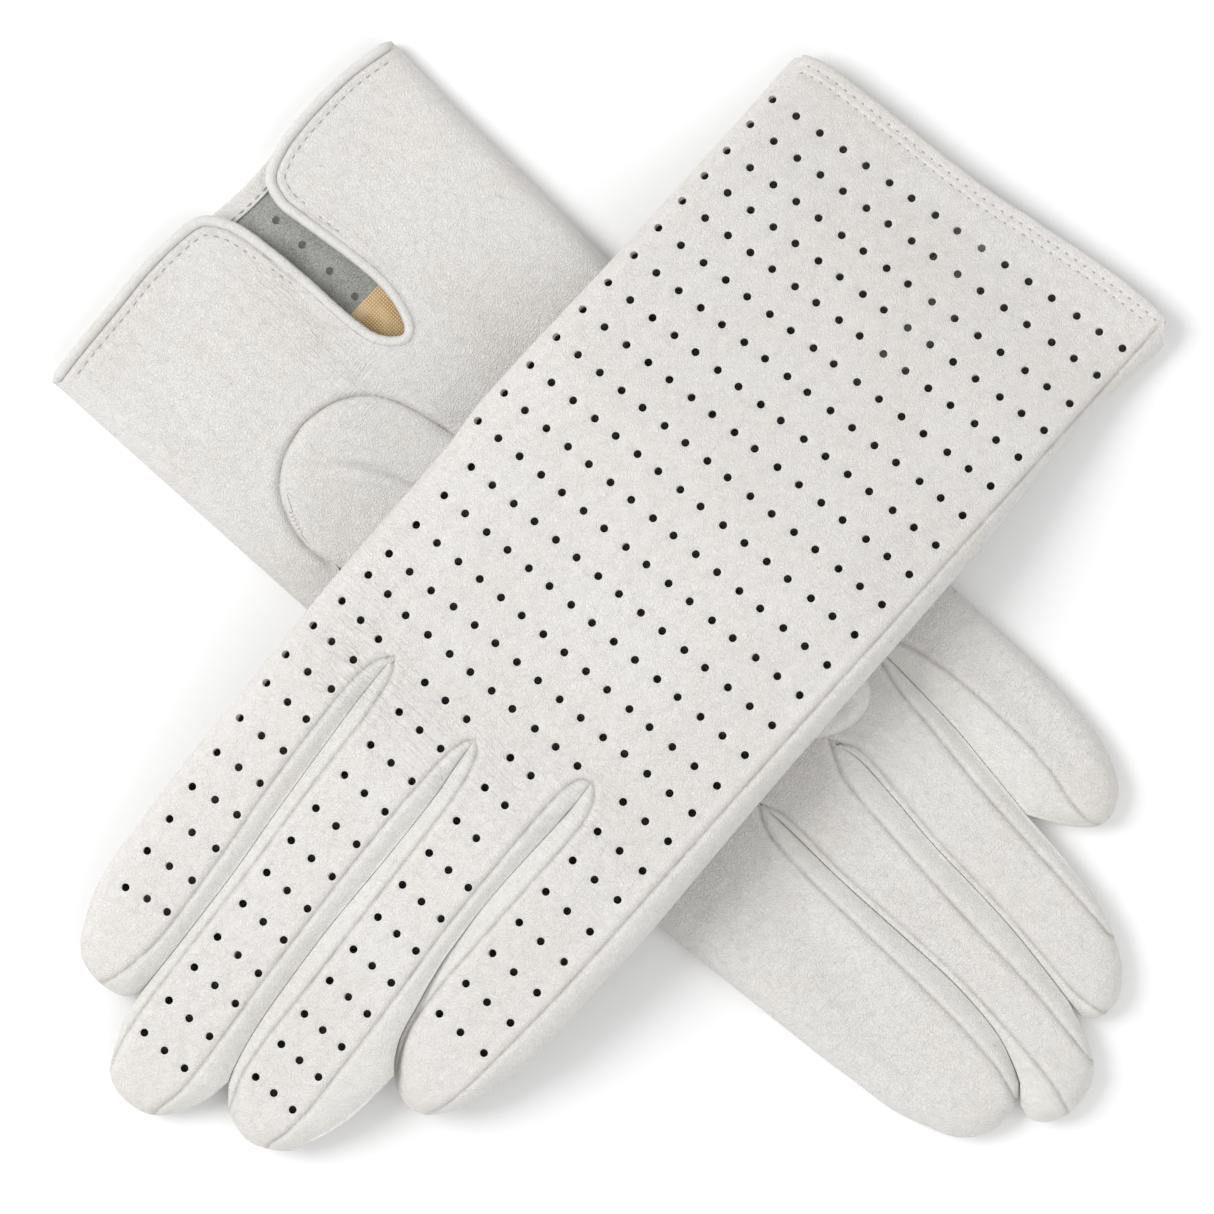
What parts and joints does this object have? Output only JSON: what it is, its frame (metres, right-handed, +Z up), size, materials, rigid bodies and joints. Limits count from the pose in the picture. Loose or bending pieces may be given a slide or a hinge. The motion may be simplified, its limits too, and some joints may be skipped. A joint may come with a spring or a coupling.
{
  "type": "pair of leather dress gloves",
  "caption": "Crossed leather dress gloves with perforated backs, set-in thumbs, side strips between the fingers, hemmed cuffs and a bound vent in each palm.",
  "frame": {"origin": "the middle of the box round both gloves, on the table they lie on", "axes": "+Z up, +Y along the right glove to its fingertips, +X nearly along the left glove to its fingertips, to within a degree"},
  "size_m": [0.2434, 0.2397, 0.0251],
  "materials": {
    "back_leather": "satin, fine grain",
    "palm_leather": "satin, fine grain",
    "strip_leather": "satin, fine grain",
    "thumb_leather": "satin, fine grain",
    "binding_leather": "satin, rolled",
    "suede": "matt flesh side",
    "satin": "satin weave"
  },
  "bodies": {
    "right_hand": {"right_palm": "palm_leather", "right_back": "back_leather", "right_thumb_base": "thumb_leather", "right_hem": "suede", "right_binding": "binding_leather", "right_label": "satin", "right_fork_little_ring": "strip_leather", "right_fork_ring_middle": "strip_leather", "right_fork_middle_index": "strip_leather"},
    "right_thumb": {"right_thumb_tip": "thumb_leather"},
    "right_little": {"right_little_palm": "palm_leather", "right_little_back": "back_leather", "right_little_strip": "strip_leather"},
    "right_ring": {"right_ring_palm": "palm_leather", "right_ring_back": "back_leather", "right_ring_strip_a": "strip_leather", "right_ring_strip_b": "strip_leather"},
    "right_middle": {"right_middle_palm": "palm_leather", "right_middle_back": "back_leather", "right_middle_strip_a": "strip_leather", "right_middle_strip_b": "strip_leather"},
    "right_index": {"right_index_palm": "palm_leather", "right_index_back": "back_leather", "right_index_strip": "strip_leather"},
    "left_hand": {"left_palm": "palm_leather", "left_back": "back_leather", "left_thumb_base": "thumb_leather", "left_hem": "suede", "left_binding": "binding_leather", "left_fork_little_ring": "strip_leather", "left_fork_ring_middle": "strip_leather", "left_fork_middle_index": "strip_leather"},
    "left_thumb": {"left_thumb_tip": "thumb_leather"},
    "left_little": {"left_little_palm": "palm_leather", "left_little_back": "back_leather", "left_little_strip": "strip_leather"},
    "left_ring": {"left_ring_palm": "palm_leather", "left_ring_back": "back_leather", "left_ring_strip_a": "strip_leather", "left_ring_strip_b": "strip_leather"},
    "left_middle": {"left_middle_palm": "palm_leather", "left_middle_back": "back_leather", "left_middle_strip_a": "strip_leather", "left_middle_strip_b": "strip_leather"},
    "left_index": {"left_index_palm": "palm_leather", "left_index_back": "back_leather", "left_index_strip": "strip_leather"}
  },
  "joints": [
    {"name": "left_glove_lift", "type": "slide", "parent": "right_hand", "child": "left_hand", "axis": [0, 0, 1], "range_m": [0, 0.12]},
    {"name": "right_little_bend", "type": "hinge", "parent": "right_hand", "child": "right_little", "pos_m": [-0.04755, 0.047, 0.00665], "axis": [1, 0, 0], "range_deg": [0, 85]},
    {"name": "right_ring_bend", "type": "hinge", "parent": "right_hand", "child": "right_ring", "pos_m": [-0.02855, 0.056, 0.00665], "axis": [1, 0, 0], "range_deg": [0, 85]},
    {"name": "right_middle_bend", "type": "hinge", "parent": "right_hand", "child": "right_middle", "pos_m": [-0.01105, 0.059, 0.00665], "axis": [1, 0, 0], "range_deg": [0, 85]},
    {"name": "right_index_bend", "type": "hinge", "parent": "right_hand", "child": "right_index", "pos_m": [0.01345, 0.056, 0.00665], "axis": [1, 0, 0], "range_deg": [0, 85]},
    {"name": "right_thumb_swing", "type": "hinge", "parent": "right_hand", "child": "right_thumb", "pos_m": [-0.00957, -0.015, 0.0096], "axis": [0, 0, 1], "range_deg": [-12, 12]},
    {"name": "left_little_bend", "type": "hinge", "parent": "left_hand", "child": "left_little", "pos_m": [0.04717, 0.02457, 0.02095], "axis": [0.014, -0.9999, 0], "range_deg": [0, 60]},
    {"name": "left_ring_bend", "type": "hinge", "parent": "left_hand", "child": "left_ring", "pos_m": [0.05651, 0.0007, 0.01915], "axis": [0.014, -0.9999, 0], "range_deg": [0, 60]},
    {"name": "left_middle_bend", "type": "hinge", "parent": "left_hand", "child": "left_middle", "pos_m": [0.05979, -0.01926, 0.01855], "axis": [0.014, -0.9999, 0], "range_deg": [0, 60]},
    {"name": "left_index_bend", "type": "hinge", "parent": "left_hand", "child": "left_index", "pos_m": [0.05708, -0.0403, 0.01915], "axis": [0.014, -0.9999, 0], "range_deg": [0, 60]},
    {"name": "left_thumb_swing", "type": "hinge", "parent": "left_hand", "child": "left_thumb", "pos_m": [-0.01429, -0.01427, 0.0155], "axis": [0, 0, 1], "range_deg": [-10, 10]}
  ]
}
